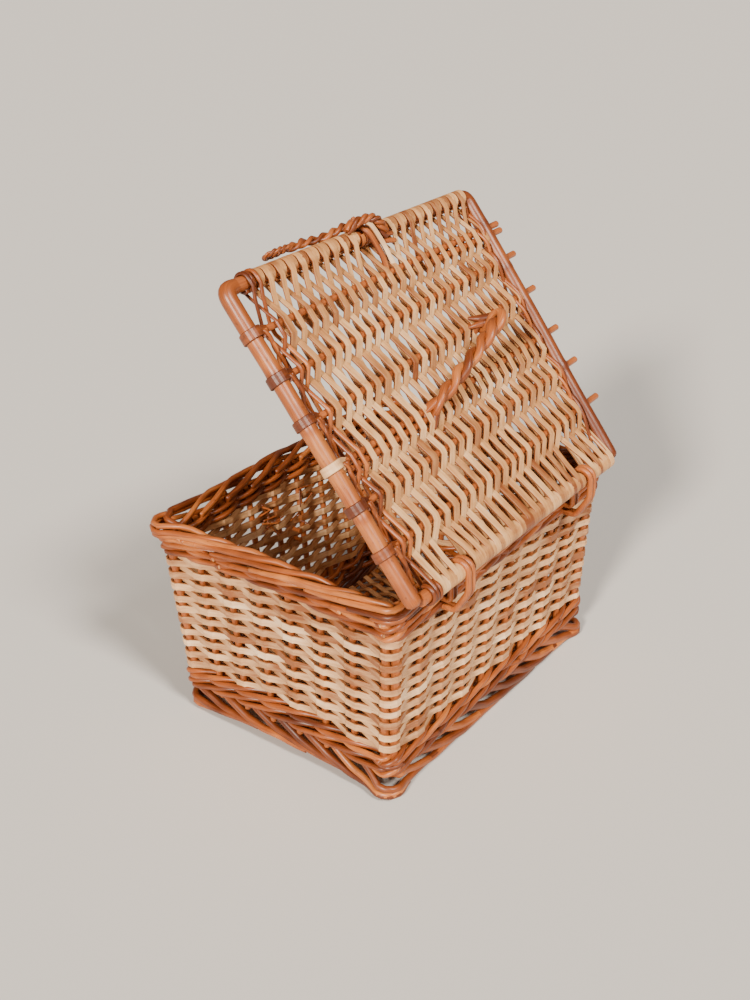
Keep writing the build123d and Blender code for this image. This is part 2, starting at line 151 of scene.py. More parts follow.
def willow(name, light, mid, dark, roughness, flecks, along=None):
    """Willow wood: streaky grain along the strand, a slow drift of tone, and small flecks.

    The grain is noise drawn long, along the strand's own length in its UV map, or along a
    given axis of the object where the piece is a plain rod without one. The weighted sum of
    grain, drift and tone picks a colour between light, mid and dark.
    """
    material = bpy.data.materials.new(name)
    material.use_nodes = True
    tree = material.node_tree
    shader = tree.nodes["Principled BSDF"]
    place = add(tree, "ShaderNodeTexCoord")
    across, lengthwise = 1000 / grain_width, 1000 / grain_length
    if along is None:
        source = place.outputs["UV"]
        stretch = (lengthwise, across, 1)
    else:
        source = place.outputs["Object"]
        stretch = [lengthwise if axis else across for axis in along]
    stretched = add(tree, "ShaderNodeMapping", {"Vector": source, "Scale": stretch})
    grain = add(
        tree,
        "ShaderNodeTexNoise",
        {"Vector": stretched.outputs["Vector"], "Scale": 1.0, "Detail": 3.0},
    )
    drift = add(
        tree,
        "ShaderNodeTexNoise",
        {"Vector": place.outputs["Object"], "Scale": 1000 / drift_length, "Detail": 2.0},
    )
    tone = add(tree, "ShaderNodeAttribute", attribute_name="tone")
    grained = add(
        tree,
        "ShaderNodeMath",
        {0: grain.outputs["Fac"], 1: grain_share},
        operation="MULTIPLY",
    )
    drifted = add(
        tree,
        "ShaderNodeMath",
        {0: drift.outputs["Fac"], 1: drift_share, 2: grained.outputs[0]},
        operation="MULTIPLY_ADD",
    )
    toned = add(
        tree,
        "ShaderNodeMath",
        {0: tone.outputs["Fac"], 1: tone_share, 2: drifted.outputs[0]},
        operation="MULTIPLY_ADD",
    )
    ramp = add(tree, "ShaderNodeValToRGB", {"Fac": toned.outputs[0]})
    ramp.color_ramp.elements[0].position = 0.34
    ramp.color_ramp.elements[0].color = linear(light)
    ramp.color_ramp.elements[1].position = 0.96
    ramp.color_ramp.elements[1].color = linear(dark)
    ramp.color_ramp.elements.new(0.62).color = linear(mid)
    # A flat strand's thin sides are mixed toward the dark colour: partly the browner wood where it was
    # split, and partly painted shade that makes the strand's thickness show.
    rim = add(tree, "ShaderNodeAttribute", attribute_name="rim")
    cut_side_and_shade = add(
        tree,
        "ShaderNodeMix",
        {"Factor": rim.outputs["Fac"], "A": ramp.outputs["Color"], "B": linear(dark)},
        data_type="RGBA",
    )
    spots = add(
        tree,
        "ShaderNodeTexNoise",
        {"Vector": place.outputs["Object"], "Scale": 1000 / fleck_spacing, "Detail": 2.0},
    )
    spotted = add(
        tree,
        "ShaderNodeMapRange",
        {"Value": spots.outputs["Fac"], "From Min": 0.66, "From Max": 0.76, "To Max": flecks},
    )
    flecked = add(
        tree,
        "ShaderNodeMix",
        {"Factor": spotted.outputs["Result"], "A": cut_side_and_shade.outputs["Result"], "B": linear("#552A12")},
        data_type="RGBA",
    )
    tree.links.new(flecked.outputs["Result"], shader.inputs["Base Color"])
    shader.inputs["Roughness"].default_value = roughness
    shader.inputs["IOR"].default_value = 1.5
    dent = add(
        tree,
        "ShaderNodeBump",
        {"Height": grain.outputs["Fac"], "Strength": 0.35, "Distance": 0.0004},
    )
    tree.links.new(dent.outputs["Normal"], shader.inputs["Normal"])
    return material


# Buff willow on the stakes: a deep orange-brown with a satin shine.
buff_upright = willow(
    "buff_willow_stake", "#B0632F", "#884620", "#5A290F", roughness=0.42, flecks=0.6, along=(0, 0, 1)
)


def finish_node(node, material):
    """Give a plain rod its wood."""
    piece = frame["nodes"][node]
    piece.data.materials.clear()
    piece.data.materials.append(material)


for wall in ("front", "right", "back", "left"):
    finish_node("stakes_" + wall, buff_upright)
finish_node("corner_stakes", buff_upright)

# ------------------------------------------------------------------ siding
# Twenty rounds of split white willow, each a flat skein that passes outside one stake and
# inside the next, alternate rounds the other way about. A corner's two stakes count as one.
lowest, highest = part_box("stakes_right")
side_x = np.array([lowest[0] + stake_radius, highest[0] - stake_radius])
side_outer_stake = highest[1] - stake_radius
lowest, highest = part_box("stakes_back")
back_y = np.array([lowest[1] + stake_radius, highest[1] - stake_radius])
back_outer_stake = highest[0] - stake_radius
stake_ends = np.array([lowest[2], highest[2]])
stakes_along_depth = 6
stakes_along_length = 8


def wall_halves(z):
    """Half length and half depth of the stakes' middle surface, linear in height."""
    share = (z - stake_ends[0]) / (stake_ends[1] - stake_ends[0])
    return side_x[0] + (side_x[1] - side_x[0]) * share, back_y[0] + (back_y[1] - back_y[0]) * share


top_half_length, top_half_depth = wall_halves(stake_ends[1])
run_depth = 2 * (top_half_depth - corner_round)
run_length = 2 * (top_half_length - corner_round)
arc = math.pi / 2 * corner_round
piece_lengths = np.array([run_depth, arc, run_length, arc] * 2)
piece_starts = np.concatenate([[0.0], np.cumsum(piece_lengths)])
round_length = piece_starts[-1]


def posts():
    """Places of the 28 stakes and 4 corners along the round, from the front right corner."""
    along_depth = np.linspace(-side_outer_stake, side_outer_stake, stakes_along_depth) + run_depth / 2
    along_length = np.linspace(-back_outer_stake, back_outer_stake, stakes_along_length) + run_length / 2
    places = []
    for piece in range(0, 8, 2):
        stakes = along_depth if piece % 4 == 0 else along_length
        places += [[piece_starts[piece] - arc / 2], stakes + piece_starts[piece]]
    return np.concatenate(places)


post_places = posts()
corner_posts = [0, 7, 16, 23]


def wall_rise(place, end_rise, long_rise):
    """How far a round bows up between corners: a rise times 1 - share squared."""
    place = np.mod(place, round_length)
    piece = np.clip(np.searchsorted(piece_starts, place, side="right") - 1, 0, 7)
    share = 2 * (place - piece_starts[piece]) / piece_lengths[piece] - 1
    rise = np.where(piece % 4 == 0, end_rise, long_rise)
    return np.where(piece % 2 == 0, rise * (1 - share**2), 0.0)


# how far the rounds bow up in the middle of the end walls and the long walls, by height
rise_heights = [0.0, 0.024, 0.048, 0.176, 0.194, 0.212]
end_rises = [0.008, 0.0085, 0.0085, 0.0065, 0.0025, 0.0]
long_rises = [0.0, 0.0015, 0.0025, 0.0035, 0.0015, 0.0]


def round_wall(place, z, across):
    """Points and outward directions at a place along the round, a height and an offset.

    Straight stretches shrink with the walls' lean; corners are arcs of the round's radius
    plus the offset.
    """
    place = np.mod(place, round_length)
    end_rise = np.interp(z, rise_heights, end_rises)
    long_rise = np.interp(z, rise_heights, long_rises)
    lifted = z + wall_rise(place, end_rise, long_rise)
    half_length, half_depth = wall_halves(lifted)
    flat_x, flat_y = half_length - corner_round, half_depth - corner_round
    piece = np.clip(np.searchsorted(piece_starts, place, side="right") - 1, 0, 7)
    share = (place - piece_starts[piece]) / piece_lengths[piece]
    quarter = piece // 2
    straight = piece % 2 == 0
    angle = np.where(straight, 0.0, share) * math.pi / 2 + quarter * math.pi / 2
    out = np.stack([np.cos(angle), np.sin(angle), np.zeros_like(angle)], axis=-1)
    corner_x = np.where((quarter == 0) | (quarter == 3), flat_x, -flat_x)
    corner_y = np.where(quarter < 2, flat_y, -flat_y)
    back_step = np.where(straight, 1 - share, 0.0) * 2 * np.where(quarter % 2 == 0, flat_y, flat_x)
    along = np.stack([-out[..., 1], out[..., 0], np.zeros_like(angle)], axis=-1)
    points = np.stack([corner_x, corner_y, lifted], axis=-1)
    points = points + out * (corner_round + across)[..., None] - along * back_step[..., None]
    return points, out


def oval(width, thickness, sides=8):
    """A rod's outline: an ellipse."""
    angle = (np.arange(sides) + 0.5) * 2 * math.pi / sides
    return np.stack([np.cos(angle) * width / 2, np.sin(angle) * thickness / 2], axis=-1)


def flat(width, thickness, bevel=0.0004):
    """A skein's outline: a rectangle with its four corners cut off by a small bevel."""
    x, y = width / 2, thickness / 2
    half_way_round = np.array([(x, bevel - y), (x, y - bevel), (x - bevel, y), (bevel - x, y)])
    return np.concatenate([half_way_round, -half_way_round])


def unit(vectors):
    """Vectors over their lengths."""
    return vectors / np.linalg.norm(vectors, axis=-1, keepdims=True)


strand_gap = 10


def length_and_girth(points, outline, closed):
    """UV of each quad's corners: length along its strand and length round it, in metres.

    Each strand starts strand_gap metres on from the one before, so no two share their grain.
    """
    count = len(points)
    sides = len(outline)
    run = np.linalg.norm(np.diff(points, axis=1), axis=-1)
    run = np.concatenate([np.zeros((count, 1)), np.cumsum(run, axis=1)], axis=1)
    run = run + strand_gap * np.arange(count)[:, None]
    near = run if closed else run[:, :-1]
    far = np.concatenate([run[:, 1:], run[:, -1:] + 0.001], axis=1) if closed else run[:, 1:]
    girth = np.linalg.norm(outline - np.roll(outline, -1, axis=0), axis=-1).sum()
    low = np.arange(sides) / sides * girth
    high = low + girth / sides
    u = np.stack([near, far, far, near], axis=-1)[:, :, None].repeat(sides, axis=2)
    v = np.broadcast_to(np.stack([low, low, high, high], axis=-1), u.shape)
    return np.stack([u, v], axis=-1).reshape(-1, 2)


def strands(name, points, out, outline, tone, scale=None, closed=False):
    """Carry an outline along many paths at once and make one mesh of them.

    The outline's first axis lies along tangent x out, its second along out made square to
    the tangent. The mesh has its UV map, each strand's tone, and on a flat outline a rim
    value along the two thin edges, which are sharp.
    """
    count, steps, _ = points.shape
    sides = len(outline)
    if closed:
        tangent = np.roll(points, -1, axis=1) - np.roll(points, 1, axis=1)
    else:
        tangent = np.gradient(points, axis=1)
    tangent = unit(tangent)
    aside = unit(np.cross(tangent, out))
    up = np.cross(aside, tangent)
    scale = np.ones((count, steps)) if scale is None else scale
    shape = outline[None, None] * scale[..., None, None]
    rings = points[:, :, None] + aside[:, :, None] * shape[..., :1] + up[:, :, None] * shape[..., 1:]
    index = np.arange(count * steps * sides).reshape(count, steps, sides)
    here = index if closed else index[:, :-1]
    there = np.roll(index, -1, axis=1) if closed else index[:, 1:]
    quads = np.stack([here, there, np.roll(there, -1, axis=2), np.roll(here, -1, axis=2)], axis=-1)
    loops = quads.reshape(-1)
    quad_count = len(loops) // 4
    starts = np.arange(quad_count) * 4
    totals = np.full(quad_count, 4)
    uv = length_and_girth(points, outline, closed)
    if not closed:
        caps = np.concatenate([index[:, 0], index[:, -1, ::-1]]).reshape(-1, sides)
        starts = np.concatenate([starts, len(loops) + np.arange(len(caps)) * sides])
        totals = np.concatenate([totals, np.full(len(caps), sides)])
        loops = np.concatenate([loops, caps.reshape(-1)])
        uv = np.concatenate([uv, np.zeros((caps.size, 2))])
    mesh = bpy.data.meshes.new(name)
    mesh.vertices.add(index.size)
    mesh.vertices.foreach_set("co", rings.reshape(-1))
    mesh.loops.add(len(loops))
    mesh.loops.foreach_set("vertex_index", loops)
    mesh.polygons.add(len(totals))
    mesh.polygons.foreach_set("loop_start", starts)
    mesh.polygons.foreach_set("loop_total", totals)
    mesh.polygons.foreach_set("use_smooth", np.arange(len(totals)) < quad_count)
    mesh.update(calc_edges=True)
    mesh.uv_layers.new(name="length_and_girth").data.foreach_set("uv", uv.reshape(-1))
    tones = np.broadcast_to(tone[:, None, None] if tone.ndim == 1 else tone[..., None], index.shape)
    mesh.attributes.new("tone", "FLOAT", "POINT").data.foreach_set("value", tones.reshape(-1))
    half_width, half_thickness = outline.max(axis=0)
    if half_width > 1.5 * half_thickness:
        # the rim marks the thin sides for darkening: partly the split wood's own colour, partly painted
        # shade
        rim = np.broadcast_to(0.9 * (np.abs(outline[:, 0]) > 0.99 * half_width), index.shape)
        mesh.attributes.new("rim", "FLOAT", "POINT").data.foreach_set("value", rim.reshape(-1))
        mesh.set_sharp_from_angle(angle=math.radians(9))
    piece = bpy.data.objects.new(name, mesh)
    bpy.context.scene.collection.objects.link(piece)
    return piece


def waver(place, rows, size, waves, seed):
    """Slow closed wandering round the hamper: a sum of sines, each with so many waves in the
    round, and a random phase and weight for each row."""
    chance = np.random.default_rng(seed)
    total = np.zeros((rows, place.shape[-1]))
    for wave in waves:
        phase = chance.uniform(0, 2 * math.pi, (rows, 1))
        weight = chance.normal(0, size / math.sqrt(len(waves)), (rows, 1))
        total += weight * np.sin(2 * math.pi * wave * place / round_length + phase)
    return total


def bays(places, shares):
    """Sample places at the same shares of each bay from one post to the next."""
    gaps = np.diff(np.concatenate([places, [places[0] + round_length]]))
    return (places[:, None] + gaps[:, None] * np.array(shares)).reshape(-1)


siding_low, siding_high = 0.048, 0.176
siding_rounds = 20
skein_width = 0.0071
skein_thickness = 0.0023
# a skein lies flat past each stake and crosses over between two of them
siding_shares = [0, 0.07, 0.14, 0.20, 0.35, 0.5, 0.65, 0.80, 0.86, 0.93]
siding_place = bays(post_places, siding_shares)
position = np.arange(len(siding_place)) / len(siding_shares)
crossing = np.clip((np.mod(position, 1) - 0.20) / 0.60, 0, 1)
swing = np.where(np.floor(position) % 2 == 0, 1 - 2 * crossing, 2 * crossing - 1)
round_numbers = np.arange(siding_rounds)[:, None]
side_of_round = np.where(round_numbers % 2 == 0, 1.0, -1.0)
to_corner = np.min(np.abs(siding_place[:, None] - post_places[corner_posts]), axis=1)
corner_step = (corner_stake_radius - stake_radius) * np.exp(-((to_corner / 0.012) ** 2))
skein_reach = stake_radius + skein_thickness / 2 + 0.0001 + corner_step
siding_across = side_of_round * swing[None] * skein_reach
siding_pitch = (siding_high - siding_low) / siding_rounds
siding_z = siding_low + siding_pitch * (round_numbers + 0.5)
siding_z = siding_z + waver(siding_place, siding_rounds, 0.0007, (2, 3, 5, 7, 11, 17), seed=4)
siding_points, siding_out = round_wall(
    np.broadcast_to(siding_place, siding_z.shape), siding_z, siding_across
)
chance = np.random.default_rng(11)
skein_scale = 1 + waver(siding_place, siding_rounds, 0.10, (3, 7, 13, 19), seed=5)
siding_tone = 0.25 + 0.5 * chance.uniform(0, 1, (siding_rounds, 1))
siding_tone = siding_tone + waver(siding_place, siding_rounds, 0.3, (1, 2, 3, 5, 9), seed=6)
siding = strands(
    "siding_weave",
    siding_points,
    siding_out,
    flat(skein_width, skein_thickness),
    np.clip(siding_tone, 0, 1),
    skein_scale,
    closed=True,
)
# White willow, stripped green and split: pale cream on its face; its thin sides are darker,
# partly the brown of the cut wood and partly painted shade that shows the skein's thickness.
white_willow = willow(
    "white_willow_skein", "#FADAB0", "#D9AB7A", "#8E5329", roughness=0.45, flecks=0.25
)
siding.data.materials.append(white_willow)
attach(siding, "basket")
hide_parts("siding_front", "siding_right", "siding_back", "siding_left")

# ------------------------------------------------------------------ walings
# Bands of three-rod wale above and below the siding: three round buff rods twist round the
# stakes, each passing outside two of them and inside the third, and lock the walls' shape.
wale_rod = 0.0056
wale_steps = 8


def wale(name, heights, spread, seed):
    """Rounds of three-rod wale.

    With p the place in stakes and f = 2 pi (p - k) / 3 for rod k, the offset is
    reach (1 - 2 ((1 + cos f) / 2)^2) and the height is lowered by spread sin f.
    """
    corners = post_places[corner_posts]
    between = np.delete(post_places, corner_posts)
    stakes = np.concatenate([between, corners - corner_stake_radius, corners + corner_stake_radius])
    place = bays(np.sort(stakes), np.arange(wale_steps) / wale_steps)
    stake = np.arange(len(place)) / wale_steps
    rods = np.arange(3 * len(heights))
    turn = 2 * math.pi * (stake[None] - rods[:, None]) / 3
    reach = stake_radius + wale_rod / 2
    across = reach * (1 - 2 * ((1 + np.cos(turn)) / 2) ** 2)
    z = np.repeat(heights, 3)[:, None] - spread * np.sin(turn)
    z = z + waver(place, len(rods), 0.0004, (3, 5, 8, 13), seed)
    points, out = round_wall(np.broadcast_to(place, z.shape), z, across)
    tone = 0.25 + 0.5 * np.random.default_rng(seed).uniform(0, 1, (len(rods), 1))
    tone = tone + waver(place, len(rods), 0.25, (1, 2, 3, 5), seed + 1)
    scale = 1 + waver(place, len(rods), 0.07, (2, 5, 9), seed + 2)
    outline = oval(wale_rod, wale_rod)
    return strands(name, points, out, outline, np.clip(tone, 0, 1), scale, closed=True)


# Buff willow in the round: warm orange-brown with a satin shine along each rod.
buff_willow = willow(
    "buff_willow_rod", "#CC7E3E", "#9A4F20", "#58260C", roughness=0.38, flecks=0.55
)
for name, heights, spread in (
    ("lower_wale", [0.0300, 0.0418], 0.0033),
    ("upper_wale", [0.1810, 0.1900], 0.0028),
):
    waling = wale(name + "_rods", heights, spread, seed=10)
    waling.data.materials.append(buff_willow)
    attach(waling, "basket")
    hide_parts(*[name + "_" + wall for wall in ("front", "right", "back", "left")])

# ------------------------------------------------------------------ borders
# The top border: each stake's rod is bent down inside the rim, slants up over it, and then
# runs along the outside under the next three. The foot border is the same work upside down.


def border_rods(name, direction, run, radius, path, kicked_posts, kick, seed, steps=44):
    """One rod from each stake, along the wall one way, by a path of (share, z, across).

    The path's corners are rounded by a moving average, and near two of the hamper's corners
    a bell-shaped kick pushes the rods out to a point.
    """
    chance = np.random.default_rng(seed)
    shares = np.linspace(0, 1, steps)
    count = len(post_places)
    length = run * chance.uniform(0.92, 1.1, (count, 1))
    place = post_places[:, None] + direction * shares[None] * length
    place = place + chance.normal(0, 0.002, (count, 1))
    path_share, path_z, path_across = np.array(path).T
    z = np.pad(np.interp(shares, path_share, path_z), 2, "edge")
    across = np.pad(np.interp(shares, path_share, path_across), 2, "edge")
    blur = np.array([1, 2, 3, 2, 1]) / 9
    z = np.convolve(z, blur, "valid")[None] + chance.normal(0, 0.0006, (count, 1))
    across = np.convolve(across, blur, "valid")[None] + chance.normal(0, 0.0004, (count, 1))
    sway = 0.0005 * np.sin(2 * math.pi * (shares[None] * 2 + chance.uniform(0, 1, (count, 1))))
    for post in kicked_posts:
        away = np.mod(place - post_places[post] + round_length / 2, round_length) - round_length / 2
        across = across + kick * np.exp(-((away / 0.015) ** 2)) * (across > 0.001)
    points, out = round_wall(place, z + sway, np.broadcast_to(across, place.shape))
    tone = chance.uniform(0, 1, (count, 1))
    tone = tone + 0.15 * np.sin(7 * shares[None] + chance.uniform(0, 6, (count, 1)))
    scale = chance.uniform(0.86, 1.1, (count, 1)) * np.interp(shares, [0, 0.9, 1], [1, 0.9, 0.8])[None]
    return strands(name, points, out, oval(2 * radius, 2 * radius), np.clip(tone, 0, 1), scale)


top_rods = border_rods(
    "top_border_rods",
    direction=-1,
    run=0.160,
    radius=0.0032,
    path=[
        (0, 0.1945, -0.0055),
        (0.14, 0.2020, -0.0066),
        (0.26, 0.2085, -0.0030),
        (0.36, 0.2090, 0.0030),
        (0.55, 0.2060, 0.0062),
        (0.80, 0.2005, 0.0068),
        (1, 0.1955, 0.0060),
    ],
    kicked_posts=(corner_posts[0], corner_posts[3]),
    kick=0.0060,
    seed=21,
)
foot_rods = border_rods(
    "foot_border_rods",
    direction=1,
    run=0.130,
    radius=0.0041,
    path=[
        (0, 0.0265, -0.0020),
        (0.10, 0.0225, 0.0020),
        (0.30, 0.0110, 0.0036),
        (0.52, 0.0056, 0.0044),
        (1, 0.0047, 0.0040),
    ],
    kicked_posts=(corner_posts[1], corner_posts[2]),
    kick=0.0050,
    seed=31,
)
for rods, band in ((top_rods, "top_border"), (foot_rods, "foot_border")):
    rods.data.materials.append(buff_willow)
    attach(rods, "basket")
    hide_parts(*[band + "_" + wall for wall in ("front", "right", "back", "left")])

# ------------------------------------------------------------------ cut ends
# Where one rod of a waling or border runs out, its end is cut off slantwise on the outside.
# Inside the front wall two bundles of thin tips are left sticking out of the weave.
chance = np.random.default_rng(71)
wale_end_count = 34
end_steps = 10
end_width, end_thickness = 0.0050, 0.0046
end_places = np.concatenate([
    chance.uniform(0, round_length, wale_end_count),
    post_places[corner_posts[0]] + np.array([0.010, 0.019, 0.030]),
])
end_heights = np.concatenate([
    chance.choice([0.0300, 0.0350, 0.0418, 0.1810, 0.1860, 0.1915], wale_end_count),
    [0.1975, 0.1985, 0.1975],
])
end_share = np.linspace(0, 1, end_steps)
end_count = len(end_places)
end_lengths = chance.uniform(0.012, 0.022, (end_count, 1))
end_along = end_places[:, None] + end_lengths * end_share
end_z = end_heights[:, None] + chance.uniform(-0.0025, 0.0035, (end_count, 1)) * end_share
end_across = 0.0030 + 0.0050 * end_share * np.ones((end_count, 1))
end_points, end_out = round_wall(end_along, end_z, end_across)
cut_ends = strands(
    "wale_cut_ends",
    end_points,
    end_out,
    oval(end_width, end_thickness),
    chance.uniform(0.1, 0.9, end_count),
)
cut_ends.data.materials.append(buff_willow)
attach(cut_ends, "basket")

# a thin disc of pale wood lies on each cut
tip_way = unit(end_points[:, -1] - end_points[:, -2])
tip_points = end_points[:, -1:] + tip_way[:, None] * np.array([0.0, 0.00015, 0.0003])[None, :, None]
cut_faces = strands(
    "wale_cut_faces",
    tip_points,
    np.repeat(end_out[:, -1:], 3, axis=1),
    oval(0.0036, 0.0032),
    chance.uniform(0.4, 0.9, end_count),
)
cut_faces.data.materials.append(white_willow)
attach(cut_faces, "basket")

tuft_tips = 18
tuft_steps = 8
tuft_middles = np.array([(-0.017, 0.152), (0.041, 0.150)])[np.arange(tuft_tips) % 2]
tuft_roots = np.stack([
    tuft_middles[:, 0] + chance.normal(0, 0.005, tuft_tips),
    np.full(tuft_tips, -wall_halves(0.15)[1] + stake_radius),
    tuft_middles[:, 1] + chance.normal(0, 0.014, tuft_tips),
], axis=1)
tuft_ways = chance.normal(0, 1, (tuft_tips, 3)) * np.array([0.7, 0.25, 1.0]) + np.array([0, 0.45, -0.3])
tuft_lengths = chance.uniform(0.010, 0.026, (tuft_tips, 1, 1))
tuft_share = np.linspace(0, 1, tuft_steps)
tuft_points = tuft_roots[:, None] + unit(tuft_ways)[:, None] * tuft_lengths * tuft_share[None, :, None]
tuft_points[..., 1] = np.maximum(tuft_points[..., 1], tuft_roots[0, 1])
tufts = strands(
    "front_wall_tufts",
    tuft_points,
    np.broadcast_to(np.array([0.3, 1.0, 0.1]), tuft_points.shape),
    oval(0.0024, 0.0018),
    chance.uniform(0.1, 0.9, tuft_tips),
    np.broadcast_to(1 - 0.5 * tuft_share, (tuft_tips, tuft_steps)),
)
tufts.data.materials.append(buff_willow)
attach(tufts, "basket")

# ------------------------------------------------------------------ lid weave
# White willow skeins run from the hinge bar to the front bar, over and under the six cross
# sticks, and are turned once round both bars. Three brown rods lie beside them at the right.
joints = {joint["name"]: joint for joint in frame["joints"]}
hinge_y, hinge_z = joints["lid_hinge"]["pos_m"][1:]
open_angle = math.radians(-joints["lid_hinge"]["range_deg"][0])
slope, lift = math.cos(open_angle), math.sin(open_angle)
lid_sticks = 6


def lid_space(x, reach, height):
    """Points from lid places: along the hinge, away from it, and out of the lid's face."""
    y = hinge_y - slope * reach + lift * height
    z = hinge_z + lift * reach + slope * height
    return np.stack(np.broadcast_arrays(x, y, z), axis=-1)


def lid_way(x, reach, height):
    """Directions from lid components, as lid_space does for points."""
    y = -slope * reach + lift * height
    z = lift * reach + slope * height
    return np.stack(np.broadcast_arrays(x, y, z), axis=-1)


side_rod_radius = 0.0076
back_bar_radius = 0.0060
front_bar_radius = 0.0062
stick_radius = 0.0031
lowest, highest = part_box("lid_front_bar")
lid_reach = math.hypot((lowest[1] + highest[1]) / 2 - hinge_y, (lowest[2] + highest[2]) / 2 - hinge_z)
lowest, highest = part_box("lid_side_rod_right")
right_rod = (lowest[0] + side_rod_radius, highest[0] - side_rod_radius)
lowest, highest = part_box("lid_side_rod_left")
left_rod = (highest[0] - side_rod_radius, lowest[0] + side_rod_radius)
weave_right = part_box("lid_weave")[1][0]
stick_rows = []
for row in range(1, lid_sticks + 1):
    lowest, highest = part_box("lid_stick_" + str(row))
    near = (lowest[2] + stick_radius - hinge_z) / lift
    far = (highest[2] - stick_radius - hinge_z) / lift
    stick_rows.append((lowest[0], far, highest[0], near))


def rod_place(rod, reach):
    """A side rod's place along the hinge, linear from the hinge to the front bar."""
    return rod[0] + (rod[1] - rod[0]) * reach / lid_reach


def stick_reach(row, x):
    """How far from the hinge a stick is at x, linear between its two ends."""
    left, far, right, near = stick_rows[row]
    return far + (near - far) * (x - left) / (right - left)


lid_skein_width = 0.0074
lid_skein_thickness = 0.0020
hinge_loops = [sum(v[0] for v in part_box("hinge_loop_" + side)) / 2 for side in ("left", "right")]
loop_half = 0.0088
loop_spread = 0.042
knot_low, knot_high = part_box("hasp_knot")[0][0] - 0.013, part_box("hasp_knot")[1][0] + 0.002
# A skein falls slowly from over one stick to under the next, and comes up again quickly:
# sooner in the two bays that the half sticks lie in.
bay_shares = np.array([0.0, 0.05, 0.20, 0.34, 0.47, 0.60, 0.68, 0.84, 0.94])
slow_fall = np.clip((bay_shares - 0.05) / 0.79, 0, 1)
rise_starts = np.array([0.60, 0.60, 0.34, 0.60, 0.60, 0.34, 0.60])
quick_rise = np.clip((bay_shares - rise_starts[:, None]) / 0.34, 0, 1)
bar_turn = math.radians(280)
turn_steps = 14
stick_clearance = 0.0009
bar_clearance = 0.0002
side_push = 0.0016
front_bay_start, front_bay_end = 0.86, 0.985


def parted(at_hinge, reach):
    """How far strands are pushed aside by the hinge loops.

    Places up to loop_spread from a loop are squeezed linearly into the stretch from
    loop_half to loop_spread, and that fades linearly to nothing as the strands run forward.
    """
    pushes = []
    for loop in hinge_loops:
        away = at_hinge[:, None] - loop
        squeezed = loop_half + np.abs(away) * (loop_spread - loop_half) / loop_spread
        push = np.sign(away) * squeezed - away
        pushes.append(np.where(np.abs(away) < loop_spread, push, 0))
    return sum(pushes) * np.clip((0.055 - reach) / 0.040, 0, 1)


